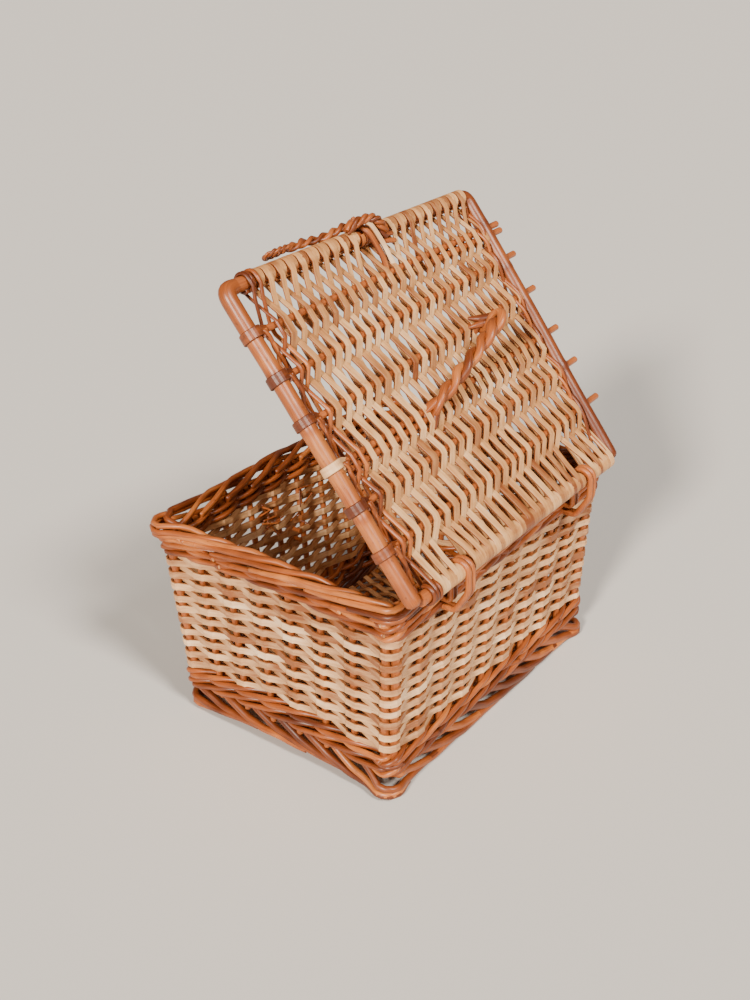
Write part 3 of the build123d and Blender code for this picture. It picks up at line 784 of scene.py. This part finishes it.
def lid_strands(name, at_hinge, at_front, first_side, outline, seed):
    """Strands from bar to bar.

    Beside a stick the height is flat; from there it falls slowly to the next stick or rises
    quickly, linearly both ways, and the strand is pushed aside in proportion to its height.
    Round a bar of radius R it is (R sin t, R cos t), for t from 0 to bar_turn. Where the
    hasp's knot fills the front bar, the strands only touch the bar.
    """
    chance = np.random.default_rng(seed)
    count = len(at_hinge)
    side = np.where((np.arange(count) + first_side) % 2 == 0, 1.0, -1.0)[:, None]
    middle = (at_hinge + at_front) / 2
    rows = [stick_reach(row, middle) for row in range(lid_sticks)]
    reaches = np.stack([np.zeros(count), *rows, np.full(count, lid_reach)], axis=1)
    half_thickness = outline[:, 1].max()
    over_stick = stick_radius + half_thickness + stick_clearance
    back_turn = back_bar_radius + half_thickness + bar_clearance
    front_turn = front_bar_radius + half_thickness + bar_clearance
    tops = np.array([back_turn, *[over_stick] * lid_sticks, front_turn])
    tops = tops * (-1.0) ** np.arange(len(tops))
    reach = reaches[:, :-1, None] + np.diff(reaches, axis=1)[:, :, None] * bay_shares
    step_up = side[:, :, None] * np.diff(tops)[None, :, None]
    height = side[:, :, None] * tops[None, :-1, None]
    height = height + step_up * np.where(step_up > 0, quick_rise, slow_fall)
    reach = reach.reshape(count, -1)
    height = height.reshape(count, -1)
    share = reach / lid_reach
    x = at_hinge[:, None] + (at_front - at_hinge)[:, None] * share
    x = x - side_push * np.clip(height / over_stick, -1, 1) * np.sin(math.pi * share) ** 0.3
    for wave in (1, 2, 4):
        x = x + chance.normal(0, 0.0004, (count, 1)) * np.sin(math.pi * wave * share)
    x = x + parted(at_hinge, reach)

    turn = np.linspace(bar_turn, 0, turn_steps, endpoint=False)
    back_reach = -back_turn * np.sin(turn) * np.ones((count, 1))
    back_height = side * back_turn * np.cos(turn)
    back_out = lid_way(0, -side * np.sin(turn), np.cos(turn) * np.ones((count, 1)))
    at_knot = ((at_front > knot_low) & (at_front < knot_high))[:, None]
    end_side = np.where(at_knot, -1.0, -side)
    turn = np.where(at_knot, 0.12, 1.0) * turn[::-1]
    front_reach = lid_reach + front_turn * np.sin(turn)
    front_height = end_side * front_turn * np.cos(turn)
    front_out = lid_way(0, end_side * np.sin(turn), np.cos(turn))
    last_bay = len(bay_shares)
    start = height[:, -last_bay][:, None]
    height[:, -last_bay:] = start + (end_side * front_turn - start) * slow_fall
    face_out = lid_way(0, np.zeros_like(height), np.ones_like(height))
    lean = 0.0012 * np.linspace(1, 0, turn_steps)
    x = np.concatenate([x[:, :1] - lean, x, x[:, -1:] + lean[::-1]], axis=1)
    reach = np.concatenate([back_reach, reach, front_reach], axis=1)
    height = np.concatenate([back_height, height, front_height], axis=1)
    out = np.concatenate([back_out, face_out, front_out], axis=1)

    along = np.linspace(0, 1, x.shape[1])
    share = reach / lid_reach
    tone = 0.10 + 0.6 * chance.uniform(0, 1, (count, 1)) ** 2
    tone = tone + 0.22 * np.sin(5 * along + chance.uniform(0, 6.3, (count, 1)))
    tone = tone + 0.10 * np.sin(17 * along + chance.uniform(0, 6.3, (count, 1)))
    scale = chance.uniform(0.88, 1.04, (count, 1))
    scale = scale * (1 + 0.05 * np.sin(9 * along + chance.uniform(0, 6.3, (count, 1))))
    scale = scale * (1.05 - 0.10 * share)
    in_front_bay = (share > front_bay_start) & (share < front_bay_end)
    scale = np.where(in_front_bay, scale * 0.84, scale)
    on_bar = (share <= 0) | (share >= 1)
    tone = tone + 0.16 * on_bar + 0.30 * in_front_bay * (chance.uniform(0, 1, (count, 1)) > 0.8)
    for loop in hinge_loops:
        tight = (np.abs(at_hinge - loop) < loop_spread)[:, None] & (reach < 0.04)
        scale = np.where(tight, scale * 0.9, scale)
    return strands(name, lid_space(x, reach, height), out, outline, np.clip(tone, 0, 1), scale)


edge_rods = 3
edge_rod_pitch = 0.0047
skeins = 43
half_skein = lid_skein_width / 2
white_right = weave_right - edge_rods * edge_rod_pitch
at_hinge = np.linspace(left_rod[0] + side_rod_radius + half_skein, white_right - half_skein, skeins)
at_front = np.linspace(left_rod[1] + side_rod_radius + half_skein, white_right - half_skein, skeins)
lid_weave = lid_strands(
    "lid_weave_skeins",
    at_hinge,
    at_front,
    first_side=0,
    outline=flat(lid_skein_width, lid_skein_thickness),
    seed=41,
)
# The lid's white willow: split like the siding's, but a shade browner from years of light.
lid_willow = willow(
    "white_willow_lid_skein", "#EFC48F", "#C99259", "#80441E", roughness=0.45, flecks=0.25
)
lid_weave.data.materials.append(lid_willow)
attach(lid_weave, "lid")
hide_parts("lid_weave", "lid_back_wraps", "lid_front_wraps")
edge_places = white_right + edge_rod_pitch * (np.arange(edge_rods) + 0.5)
lid_edge = lid_strands(
    "lid_edge_rods",
    edge_places,
    edge_places,
    first_side=skeins,
    outline=oval(0.0046, 0.0036),
    seed=43,
)
lid_edge.data.materials.append(buff_willow)
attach(lid_edge, "lid")

# ------------------------------------------------------------------ lid frame
# One thick peeled willow rod at each side, a bar at the hinge and one at the front, and six
# cross sticks with two half ones. The rods keep their knots and a slight waviness.


def eased(points, bend, steps):
    """A polyline sampled evenly, its corners eased by averaging over the bend's length."""
    points = np.array(points, float)
    run = np.concatenate([[0], np.cumsum(np.linalg.norm(np.diff(points, axis=0), axis=1))])
    even = np.linspace(0, run[-1], steps)
    path = np.stack([np.interp(even, run, points[:, axis]) for axis in range(3)], axis=1)
    reach = max(1, round(bend / run[-1] * steps / 2))
    kernel = np.ones(2 * reach + 1) / (2 * reach + 1)
    for _ in range(2):
        before = 2 * path[0] - path[reach:0:-1]
        after = 2 * path[-1] - path[-2 : -2 - reach : -1]
        padded = np.concatenate([before, path, after])
        path = np.stack([np.convolve(padded[:, axis], kernel, "valid") for axis in range(3)], axis=1)
    return path


def lid_rod(name, rod, inwards, darker, seed, steps=130):
    """A side rod, its front end folded round into the front bar.

    It wavers slowly as a sum of two sines, swells by a bell shape at each knot, and is
    thinned linearly to the bar's own radius in the fold.
    """
    chance = np.random.default_rng(seed)
    hinge_end = (rod_place(rod, -0.0022), -0.0022, 0)
    corner = (rod[1], lid_reach, 0)
    inner_end = (rod[1] + inwards * 0.036, lid_reach, 0)
    path = eased([hinge_end, corner, inner_end], 0.011, steps)
    share = np.linspace(0, 1, steps)
    waver_x = 0.0005 * np.sin(7 * share + seed) + 0.0003 * np.sin(17 * share + 2 * seed)
    points = lid_space(path[:, 0] + waver_x, path[:, 1], 0.0004 * np.sin(9 * share + seed))[None]
    out = lid_way(0, np.zeros(steps), np.ones(steps))[None]
    knots = chance.uniform(0.08, 0.80, 4)
    swelling = np.exp(-(((share[:, None] - knots) / 0.010) ** 2)).sum(axis=1)
    scale = 0.97 + 0.045 * swelling
    folded = np.abs(path[:, 0] - rod[1]) / 0.018
    scale = scale * np.interp(folded, [0.2, 1], [1.0, front_bar_radius / side_rod_radius])
    scale = scale * np.interp(share * steps, [0, 0.6, 1.2, 3], [0.55, 0.85, 0.97, 1.0])
    tone = np.clip(0.30 + darker + 0.18 * np.sin(5 * share + seed) + 0.3 * swelling, 0, 1)
    outline = oval(2 * side_rod_radius, 2 * side_rod_radius, 20)
    return strands(name, points, out, outline, tone[None], scale[None])


# Thick rods peeled by hand: a little glossier than the rest, with knots and specks left in.
peeled_rod = willow(
    "peeled_thick_rod", "#C67E3F", "#9E5423", "#632C10", roughness=0.36, flecks=0.6
)
for side_name, rod, inwards, darker, seed in (
    ("right", right_rod, -1, 0.0, 3),
    ("left", left_rod, 1, 0.5, 8),
):
    thick = lid_rod("lid_side_rod_" + side_name + "_peeled", rod, inwards, darker, seed)
    thick.data.materials.append(peeled_rod)
    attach(thick, "lid")
    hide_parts("lid_side_rod_" + side_name)
# The lid's cross sticks: buff willow like the stakes, their grain along the hinge.
buff_level = willow(
    "buff_willow_stick", "#B86833", "#8F4A22", "#5F2B10", roughness=0.42, flecks=0.6, along=(1, 0, 0)
)
for node in ("lid_front_bar", "lid_back_bar", "lid_half_sticks"):
    finish_node(node, buff_level)
for row in range(1, lid_sticks + 1):
    finish_node("lid_stick_" + str(row), buff_level)

# ------------------------------------------------------------------ lid bindings
# The butt ends of the sticks pass through the left rod. At the right each stick's thin tip is
# wound flat round the rod and runs on down the edge to the next; thin rods tie the left edge.
band_width = 0.0088
band_thickness = 0.0020
band_steps = 30
row_reaches = np.array([row[3] for row in stick_rows])
rod_x = rod_place(right_rod, row_reaches)
turn = np.radians(np.linspace(165, -235, band_steps))
wrap_radius = side_rod_radius + band_thickness / 2 + 0.0001
chance = np.random.default_rng(51)
each_band = np.ones((lid_sticks, 1))
# each band comes in from the weave, rises to the rod and goes a little more than once round
start_x = rod_x[:, None] - 0.017 + np.array([0.0, 0.004])
start_height = stick_radius * 0.5 + np.array([0.0, 0.0006]) * each_band
wrap_x = rod_x[:, None] + wrap_radius * np.cos(turn)
wrap_height = wrap_radius * np.sin(turn) * each_band
wrap_reach = row_reaches[:, None] + np.linspace(0.0012, -0.0016, band_steps)
wrap_reach = wrap_reach + chance.normal(0, 0.0008, (lid_sticks, 1))
band_x = np.concatenate([start_x, wrap_x], axis=1)
band_height = np.concatenate([start_height, wrap_height], axis=1)
band_reach = np.concatenate([row_reaches[:, None], wrap_reach[:, :1], wrap_reach], axis=1)
band_out = np.concatenate([
    lid_way(0, np.zeros((lid_sticks, 2)), np.ones((lid_sticks, 2))),
    lid_way(np.cos(turn), 0, np.sin(turn) * each_band),
], axis=1)
band_points = lid_space(band_x, band_reach, band_height)
band_scale = np.concatenate([[0.7, 0.8], np.ones(band_steps)])
band_scale = chance.uniform(0.85, 1.1, (lid_sticks, 1)) * band_scale
band_tone = np.array([0.75, 0.9, 0.3, 0.8, 1.0, 0.7])
white_row = np.arange(lid_sticks) == 2
for name, rows, wood, slot in (
    ("lid_side_binding_bands", ~white_row, buff_willow, "binding_willow"),
    ("lid_white_binding_band", white_row, white_willow, "white_willow"),
):
    bands = strands(
        name,
        band_points[rows],
        band_out[rows],
        flat(band_width, band_thickness, 0.0006),
        band_tone[rows],
        band_scale[rows],
    )
    bands.data.materials.append(wood)
    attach(bands, "lid")
    if wood is buff_willow:
        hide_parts("lid_side_bindings")

# two tails run from each band down the weave's edge to the next band
tail_share = np.linspace(0, 1, 24)
next_reach = np.concatenate([[0.012], row_reaches[:-1] + 0.004])
tail_points = []
for offset in (0.0, 0.0032):
    first_x = rod_x - side_rod_radius - 0.0018 - offset
    last_x = np.full(lid_sticks, weave_right - 0.0010) + offset
    tail_x = first_x[:, None] + (last_x - first_x)[:, None] * np.sin(tail_share * math.pi / 2) ** 1.3
    tail_x = tail_x + 0.0008 * np.sin(9 * tail_share + chance.uniform(0, 6, (lid_sticks, 1)))
    tail_reach = row_reaches[:, None] + (next_reach - row_reaches)[:, None] * tail_share
    tail_height = 0.0045 * np.cos(tail_share * math.pi) * each_band
    tail_height = tail_height + 0.0008 * np.sin(11 * tail_share + offset * 900)
    tail_points.append(lid_space(tail_x, tail_reach, tail_height))
tail_points = np.concatenate(tail_points)
tails = strands(
    "lid_edge_tails",
    tail_points,
    np.broadcast_to(lid_way(0, 0.0, 1.0), tail_points.shape),
    oval(0.0050, 0.0038),
    chance.uniform(0.1, 0.9, len(tail_points)),
    chance.uniform(0.7, 1.1, (len(tail_points), 1)) * np.interp(tail_share, [0, 0.8, 1], [1, 0.9, 0.6]),
)
tails.data.materials.append(buff_willow)
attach(tails, "lid")

# three thin rods wander over and under the sticks beside the left rod
tie_reach = np.linspace(0.006, lid_reach - 0.010, 120)
tie_phase = np.array([0.0, math.pi, 1.2])[:, None]
tie_apart = np.array([0.0, 0.0018, 0.0042])[:, None]
left_reaches = np.array([0.0] + [row[1] for row in stick_rows] + [lid_reach])
tie_count = np.interp(tie_reach, left_reaches, np.arange(len(left_reaches)))
tie_height = 0.0058 * np.cos(math.pi * tie_count + tie_phase)
tie_x = rod_place(left_rod, tie_reach) + side_rod_radius + 0.0030 + tie_apart
tie_x = tie_x + 0.0016 * np.sin(math.pi * tie_count * 0.9 + 2 * tie_phase)
tie_points = lid_space(tie_x, tie_reach, tie_height)
ties = strands(
    "lid_left_edge_rods",
    tie_points,
    np.broadcast_to(lid_way(0, 0.0, 1.0), tie_points.shape),
    oval(0.0034, 0.0032),
    np.array([0.4, 0.7, 0.2]),
)
ties.data.materials.append(buff_willow)
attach(ties, "lid")
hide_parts("lid_edge_ties")

# ------------------------------------------------------------------ handle
# A carrying handle of two thick rods twisted round each other, their ends pushed through the
# weave and turned back, so that it stands up slantwise from a low end to a high one.
handle_low = (0.0415, 0.1290)
handle_high = (-0.0755, 0.1725)
handle_rises = (0.0140, 0.0370)
handle_steps = 120


def twisted(name, path, up, outline, reach, pitch, tones, scale=None, closed=False):
    """Rods twisted round a path: each is reach (cos t, sin t) off it, t once round per pitch."""
    if closed:
        tangent = unit(np.roll(path, -1, axis=0) - np.roll(path, 1, axis=0))
    else:
        tangent = unit(np.gradient(path, axis=0))
    aside = unit(np.cross(tangent, up))
    over = np.cross(aside, tangent)
    beyond = path[:1] if closed else path[-1:]
    step = np.linalg.norm(np.diff(path, axis=0, append=beyond), axis=1)
    run = np.concatenate([[0], np.cumsum(step)[:-1]])
    rounds = run / pitch
    if closed:
        rounds = run / step.sum() * max(1, round(step.sum() / pitch))
    rods = len(tones)
    turn = 2 * math.pi * (rounds[None] + np.arange(rods)[:, None] / rods)
    off = np.cos(turn)[..., None] * aside + np.sin(turn)[..., None] * over
    points = path[None] + reach * off
    out = np.broadcast_to(over, points.shape)
    return strands(name, points, out, outline, tones, scale, closed)


handle_path = eased(
    [
        (handle_low[0] + 0.002, handle_low[1] - 0.008, -0.004),
        (handle_low[0] - 0.001, handle_low[1], handle_rises[0] * 0.55),
        (handle_low[0] - 0.012, handle_low[1] + 0.004, handle_rises[0] + 0.001),
        ((handle_low[0] + handle_high[0]) / 2, (handle_low[1] + handle_high[1]) / 2, 0.0285),
        (handle_high[0] + 0.004, handle_high[1] - 0.002, handle_rises[1] + 0.001),
        (handle_high[0], handle_high[1], handle_rises[1] - 0.010),
        (handle_high[0] + 0.002, handle_high[1] - 0.001, -0.004),
    ],
    0.012,
    handle_steps,
)
handle_share = np.linspace(0, 1, handle_steps)
handle = twisted(
    "lid_handle_rope",
    lid_space(handle_path[:, 0], handle_path[:, 1], handle_path[:, 2]),
    lid_way(0.0, 1.0, 0.35),
    oval(0.0090, 0.0074),
    reach=0.0036,
    pitch=0.043,
    tones=np.array([0.25, 0.6])[:, None] + 0.25 * np.sin(14 * handle_share + np.array([[0], [2.5]])),
    scale=1 + 0.12 * np.sin(21 * handle_share + np.array([[0], [1.7]])),
)
# Rods soaked and twisted till their fibres part: a brighter orange-brown, still satin.
twisted_willow = willow(
    "twisted_willow_rod", "#CE8243", "#9E5425", "#5C290F", roughness=0.38, flecks=0.5
)
handle.data.materials.append(twisted_willow)
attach(handle, "lid")
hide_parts("lid_handle")
# the handle's four ends, tucked through the weave and cut to a point
tuck_steps = 26
tuck_ends = [
    [(0.018, 0.137, 0.018), (0.029, 0.133, 0.015), (0.040, 0.1305, 0.009), (0.0485, 0.1285, 0.005)],
    [(0.030, 0.133, 0.009), (0.037, 0.126, 0.008), (0.042, 0.119, 0.005), (0.045, 0.112, 0.002)],
    [(-0.080, 0.170, 0.030), (-0.076, 0.172, 0.018), (-0.068, 0.1745, 0.009), (-0.059, 0.176, 0.006)],
    [(-0.080, 0.174, 0.024), (-0.074, 0.176, 0.016), (-0.069, 0.180, 0.011), (-0.064, 0.184, 0.007)],
]
tucks = np.stack([eased(points, 0.012, tuck_steps) for points in tuck_ends])
tuck_point = np.interp(np.linspace(0, 1, tuck_steps), [0, 0.6, 1], [1, 0.95, 0.35])
handle_tucks = strands(
    "lid_handle_tucks",
    lid_space(tucks[..., 0], tucks[..., 1], tucks[..., 2]),
    np.broadcast_to(lid_way(0, 0.0, 1.0), tucks.shape),
    oval(0.0078, 0.0058),
    np.array([0.3, 0.8, 0.7, 0.9]),
    np.broadcast_to(tuck_point, tucks.shape[:2]),
)
handle_tucks.data.materials.append(twisted_willow)
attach(handle_tucks, "lid")

# ------------------------------------------------------------------ hasp and its knot
# Two thin rods are doubled round a pin of rod on the front bar, twisted into a short rope and
# closed as an eye. The knot that holds the pin is wound on the bar, with its ends tucked in.
hasp_x, hasp_y = joints["hasp_swing"]["pos_m"][:2]
hasp_reach = (hinge_y - hasp_y) / slope
eye_rod = 0.0046
eye_inner = (0.020, 0.009)
eye_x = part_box("hasp")[1][0] - eye_inner[0] / 2 - eye_rod
rope_steps = 90


def ring_path(middle_x, half_x, half_height, reach, steps):
    """A closed slot-shaped path across the lid's plane: two half circles and two straights."""
    angle = np.linspace(0, 2 * math.pi, steps, endpoint=False)
    straight = half_x - half_height
    x = middle_x + half_height * np.cos(angle) + straight * np.clip(3 * np.cos(angle), -1, 1)
    return lid_space(x, np.full(steps, reach), half_height * np.sin(angle))


rope_line = np.linspace(hasp_x + 0.0045, eye_x - eye_inner[0] / 2 - 0.001, rope_steps)
rope_share = np.linspace(0, 1, rope_steps)
rope_path = lid_space(
    rope_line,
    hasp_reach - 0.0012 * np.sin(math.pi * rope_share) + 0.0007 * np.sin(11 * rope_share),
    0.0009 * np.sin(8 * rope_share),
)
hasp_pieces = [
    twisted(
        "hasp_rope",
        rope_path,
        lid_way(0, 0.0, 1.0),
        oval(0.0046, 0.0038),
        reach=0.0021,
        pitch=0.027,
        tones=np.array([[0.35], [0.75]]) + 0.2 * np.sin(13 * rope_share),
        scale=1 + 0.15 * np.sin(17 * rope_share + np.array([[0], [2.2]])),
    ),
    twisted(
        "hasp_eye_ring",
        ring_path(eye_x, (eye_inner[0] + eye_rod) / 2, (eye_inner[1] + eye_rod) / 2, hasp_reach, 64),
        lid_way(0, 1.0, 0.0),
        oval(0.0030, 0.0026),
        reach=0.0011,
        pitch=0.014,
        tones=np.array([0.4, 0.65]),
        closed=True,
    ),
    twisted(
        "hasp_head_ring",
        ring_path(hasp_x, 0.0050, 0.0050, hasp_reach, 32),
        lid_way(0, 1.0, 0.0),
        oval(0.0036, 0.0036),
        reach=0.0017,
        pitch=0.033,
        tones=np.array([0.45, 0.7]),
        closed=True,
    ),
]
for piece in hasp_pieces:
    piece.data.materials.append(twisted_willow)
    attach(piece, "hasp")
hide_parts("hasp")

# the knot's flat turns round the bar, one beside the next and not quite even
knot_left, knot_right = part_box("hasp_knot")[0][0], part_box("hasp_knot")[1][0]
knot_steps = 260
knot_strap = flat(0.0052, 0.0019, 0.0006)
knot_turns = round((knot_right - knot_left) / 0.0054)
knot_turn = np.linspace(0, 2 * math.pi * knot_turns, knot_steps)
knot_x = np.linspace(knot_left + 0.0026, knot_right - 0.0026, knot_steps)
knot_x = knot_x + 0.0006 * np.sin(knot_turn / 2.3)
knot_around = front_bar_radius + 0.0012 + 0.0004 * np.sin(knot_turn / 3.1)
knot_reach = lid_reach + knot_around * np.sin(knot_turn)
knot_points = lid_space(knot_x, knot_reach, knot_around * np.cos(knot_turn))
knot_out = lid_way(np.zeros(knot_steps), np.sin(knot_turn), np.cos(knot_turn))
knot = strands(
    "hasp_knot_winding",
    knot_points[None],
    knot_out[None],
    knot_strap,
    (0.35 + 0.3 * np.sin(knot_turn / 3))[None],
)
knot.data.materials.append(twisted_willow)
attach(knot, "lid")
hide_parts("hasp_knot")

# the twisted arch that stands over the knot
arch_steps = 90
arch_path = eased(
    [
        (0.0225, 0.2990, 0.0085),
        (0.0170, 0.3010, 0.0130),
        (0.0080, 0.3020, 0.0175),
        (-0.0040, 0.3010, 0.0185),
        (-0.0130, 0.2960, 0.0165),
        (-0.0185, 0.2880, 0.0110),
        (-0.0195, 0.2830, 0.0050),
    ],
    0.010,
    arch_steps,
)
arch_share = np.linspace(0, 1, arch_steps)
knot_arch = twisted(
    "hasp_knot_arch",
    lid_space(arch_path[:, 0], arch_path[:, 1], arch_path[:, 2]),
    lid_way(0.0, 1.0, 0.0),
    oval(0.0050, 0.0040),
    reach=0.0024,
    pitch=0.026,
    tones=np.array([[0.4], [0.6], [0.9]]) + 0.1 * np.sin(9 * arch_share),
    scale=1 + 0.12 * np.sin(15 * arch_share + np.array([[0], [2], [4]])),
)
knot_arch.data.materials.append(twisted_willow)
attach(knot_arch, "lid")

# the pin that the hasp's head turns on, a tucked strap, two stub ends and a white skein
knot_end_steps = 30
knot_ends = [
    (
        "pin",
        [(hasp_x, 0.2840, 0.0), (hasp_x, 0.2980, 0.0), (hasp_x, 0.3112, 0.0)],
        1.0,
        oval(0.0048, 0.0048),
        0.5,
    ),
    (
        "tucked_strap",
        [
            (0.004, 0.300, 0.0080),
            (0.002, 0.293, 0.0125),
            (-0.002, 0.281, 0.0095),
            (-0.005, 0.267, 0.0068),
            (-0.006, 0.252, 0.0010),
        ],
        0.2,
        oval(0.0066, 0.0034),
        0.35,
    ),
    (
        "upper_stub",
        [(-0.012, 0.2815, 0.0040), (-0.021, 0.2790, 0.0065), (-0.031, 0.2765, 0.0070)],
        0.2,
        oval(0.0048, 0.0042),
        0.4,
    ),
    (
        "lower_stub",
        [(-0.011, 0.2865, 0.0060), (-0.020, 0.2850, 0.0085), (-0.030, 0.2830, 0.0088)],
        0.2,
        oval(0.0044, 0.0040),
        0.7,
    ),
    (
        "white_skein",
        [
            (0.008, 0.303, 0.015),
            (0.002, 0.299, 0.018),
            (-0.006, 0.290, 0.013),
            (-0.0125, 0.277, 0.008),
            (-0.016, 0.255, 0.003),
        ],
        0.2,
        flat(0.0056, 0.0018),
        0.1,
    ),
]
end_scale = np.interp(np.linspace(0, 1, knot_end_steps), [0, 0.05, 0.9, 1], [0.8, 1, 1, 0.8])
for part, points, sideways, outline, tone in knot_ends:
    path = eased(points, 0.008, knot_end_steps)
    end = strands(
        "hasp_knot_" + part,
        lid_space(path[:, 0], path[:, 1], path[:, 2])[None],
        np.broadcast_to(lid_way(sideways, 0.0, 1.0), (1, knot_end_steps, 3)),
        outline,
        np.array([tone]),
        end_scale[None],
    )
    white = part == "white_skein"
    end.data.materials.append(white_willow if white else twisted_willow)
    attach(end, "lid")

# ------------------------------------------------------------------ loops, noose and base
# The hinge loops and the noose are plain bent rods. The base is a mat of white skeins woven
# front to back over seven round sticks, held between the walls by the foot border.
# Thinner rods bent hot: browned a little by the heat, and slightly duller than the borders.
loop_willow = willow(
    "bent_willow_rod", "#B96C33", "#8D4620", "#58260E", roughness=0.4, flecks=0.5, along=(0, 0, 1)
)
for node in ("hinge_loop_left", "hinge_loop_right", "front_noose"):
    finish_node(node, loop_willow)
finish_node("base_sticks", buff_level)

lowest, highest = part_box("base_weave")
base_middle = (lowest[2] + highest[2]) / 2
base_stick_radius = 0.0030
base_stick_count = 7
stick_low, stick_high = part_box("base_sticks")
first_row, last_row = stick_low[1] + base_stick_radius, stick_high[1] - base_stick_radius
base_rows = np.linspace(first_row, last_row, base_stick_count)
base_skeins = 47
base_skein_width = 0.0064
base_skein_thickness = 0.0021
base_x = np.linspace(lowest[0] + 0.0034, highest[0] - 0.0034, base_skeins)[:, None]
base_bays = np.concatenate([[lowest[1] + 0.001], base_rows, [highest[1] - 0.001]])
base_y = (base_bays[:-1, None] + np.diff(base_bays)[:, None] * bay_shares).reshape(-1)
tops = (base_stick_radius + 0.0011) * (-1.0) ** np.arange(len(base_bays))
base_height = (tops[:-1, None] + np.diff(tops)[:, None] * slow_fall).reshape(-1)
base_side = np.where(np.arange(base_skeins) % 2 == 0, 1.0, -1.0)[:, None]
base_z = base_middle + base_side * base_height
base_points = np.stack(np.broadcast_arrays(base_x, base_y, base_z), axis=-1)
chance = np.random.default_rng(61)
base_weave = strands(
    "base_weave_skeins",
    base_points,
    np.broadcast_to(np.array([0.0, 0.0, 1.0]), base_points.shape),
    flat(base_skein_width, base_skein_thickness),
    chance.uniform(0.2, 0.8, base_skeins),
    chance.uniform(0.85, 1.05, (base_skeins, 1)) * np.ones((1, len(base_y))),
)
base_weave.data.materials.append(white_willow)
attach(base_weave, "basket")
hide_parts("base_weave")
